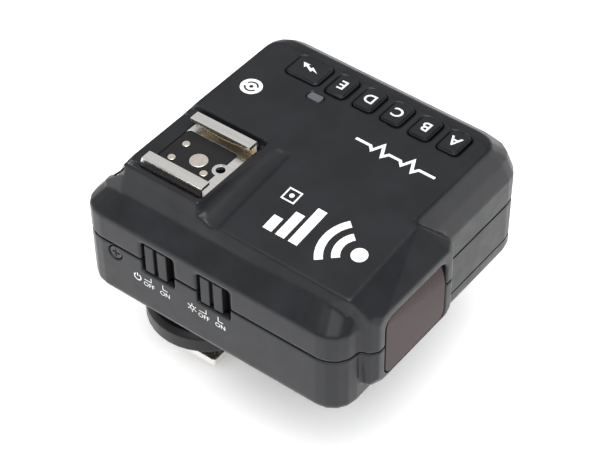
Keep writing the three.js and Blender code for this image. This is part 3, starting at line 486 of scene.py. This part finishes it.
# Radio arcs and level bars on the sloping panel
waves = [polygon(arc(1.9, 0, 345, 23))]
waves += [ribbon(arc(radius, -42, 42), 1.9) for radius in (5.0, 8.6)]
BAR_WIDTH = 2.4
BAR_FOOT = 5.4
bars = []
for u, tall in ((12.4, 10.8), (15.8, 7.4), (19.2, 4.2)):
    head = BAR_FOOT - tall
    bars.append(polygon([(u, head), (u + BAR_WIDTH, head), (u + BAR_WIDTH, BAR_FOOT), (u, BAR_FOOT)]))
print_on_top("print_panel", waves + bars, case_point(18, 27, PANEL_Z))
BADGE_HALF = 1.6
badge = [(u * BADGE_HALF, v * BADGE_HALF) for u, v in ((-1, -1), (1, -1), (1, 1), (-1, 1))]
badge_shapes = [ribbon(badge, 0.4, True), polygon(arc(0.6, 0, 340, 17))]
print_on_top("print_badge", badge_shapes, case_point(13.0, 5.3, PANEL_Z))

# Switch labels on the right wall: a sign, then OFF and ON, each with a tick that points up to the switch
LABEL_SIZE = 1.85
LABEL_Z = 32
bottom_surface = surface_of(bottom)
power_sign = [ribbon(arc(0.95, 125, 415, 24), 0.3), ribbon([(0, 0.25), (0, 1.25)], 0.3)]
lamp_sign = [ribbon(arc(0.55, 0, 345, 23), 0.25, True)]
for angle in range(0, 360, 60):
    turn = math.radians(angle + 30)
    ray = Vector((math.cos(turn), math.sin(turn)))
    lamp_sign.append(ribbon([tuple(ray * 0.85), tuple(ray * 1.35)], 0.25))
for name, sign, y in (("power", power_sign, -15.25), ("assist", lamp_sign, 0.55)):
    labels = [moved(shape, -6.2, 1.0) for shape in sign]
    labels += [moved(lettering("OFF", LABEL_SIZE), -2.9, 0.1), moved(lettering("ON", LABEL_SIZE), 1.7, 0.1)]
    labels.append(ribbon([(-4.2, 1.4), (-2.2, 1.4), (-2.2, 2.7)], 0.2))
    labels.append(ribbon([(1.2, 2.7), (1.2, 1.4), (2.6, 1.4)], 0.2))
    place = case_point(CASE_SIDE, y, LABEL_Z)
    print_on("print_" + name, labels, place, FORWARD, UP, bottom_surface, "housing")

# ---------------------------------------------------------------- floor, light and camera

FLOOR_Z = -6 * MM
FLOOR_SIZE = 6
bpy.ops.mesh.primitive_plane_add(size=FLOOR_SIZE, location=(0, 0, FLOOR_Z))
floor = bpy.context.object
floor.name = "floor"
set_material(floor, floor_material())

# The camera's place and lens, found by fitting the case's corners. The lens is in millimetres.
AZIMUTH, ELEVATION, ROLL = math.radians(128.07), math.radians(44.10), math.radians(-0.73)
TARGET = Vector((-4.26, 24.42, 45)) * MM
DISTANCE = 421.55 * MM
LENS = 115.02
SENSOR_WIDTH = 36
level_part = math.cos(ELEVATION)
back = Vector((math.sin(AZIMUTH) * level_part, -math.cos(AZIMUTH) * level_part, math.sin(ELEVATION)))
level_right = UP.cross(back).normalized()
level_up = back.cross(level_right)
right = level_right * math.cos(ROLL) + level_up * math.sin(ROLL)
upward = level_up * math.cos(ROLL) - level_right * math.sin(ROLL)
camera_data = bpy.data.cameras.new("camera")
camera_data.sensor_width = SENSOR_WIDTH
camera_data.lens = LENS
camera = bpy.data.objects.new("camera", camera_data)
scene.collection.objects.link(camera)
axes = Matrix((right, upward, back)).transposed().to_4x4()
camera.matrix_world = Matrix.Translation(TARGET + back * DISTANCE) @ axes
scene.camera = camera


def area_light(name, direction, distance, size, power):
    """A soft box that stands in the given direction from the case and faces it. Metres and watts."""
    data = bpy.data.lights.new(name, "AREA")
    data.shape = "RECTANGLE"
    data.size, data.size_y = size
    data.energy = power
    light = bpy.data.objects.new(name, data)
    scene.collection.objects.link(light)
    light.location = TARGET + direction.normalized() * distance
    light.rotation_euler = direction.to_track_quat("Z", "Y").to_euler()


area_light("main", back + UP * 0.9, 1.3, (1.2, 1.2), 22)
area_light("left", level_right * -1.0 + UP * 0.1, 1.0, (0.9, 0.25), 1.3)

# Studio surroundings: a pale table to the horizon, a dark band above it and a wide soft ceiling.
# Each band has the upward part of its direction, and its grey.
world = bpy.data.worlds.new("world")
world.use_nodes = True
sky = world.node_tree
look_direction = sky.nodes.new("ShaderNodeSeparateXYZ")
sky.links.new(sky.nodes.new("ShaderNodeTexCoord").outputs["Generated"], look_direction.inputs["Vector"])
height = sky.nodes.new("ShaderNodeValToRGB")
bands = [(0.04, 0.95), (0.14, 0.13), (0.42, 0.17), (0.6, 0.74)]
for _ in bands[2:]:
    height.color_ramp.elements.new(0.5)
for element, (position, grey) in zip(height.color_ramp.elements, bands):
    element.position = position
    element.color = (grey, grey, 1.01 * grey, 1)
sky.links.new(look_direction.outputs["Z"], height.inputs["Fac"])
sky.links.new(height.outputs["Color"], sky.nodes["Background"].inputs["Color"])
sky.nodes["Background"].inputs["Strength"].default_value = 1.0
scene.world = world
scene.view_settings.view_transform = "Standard"
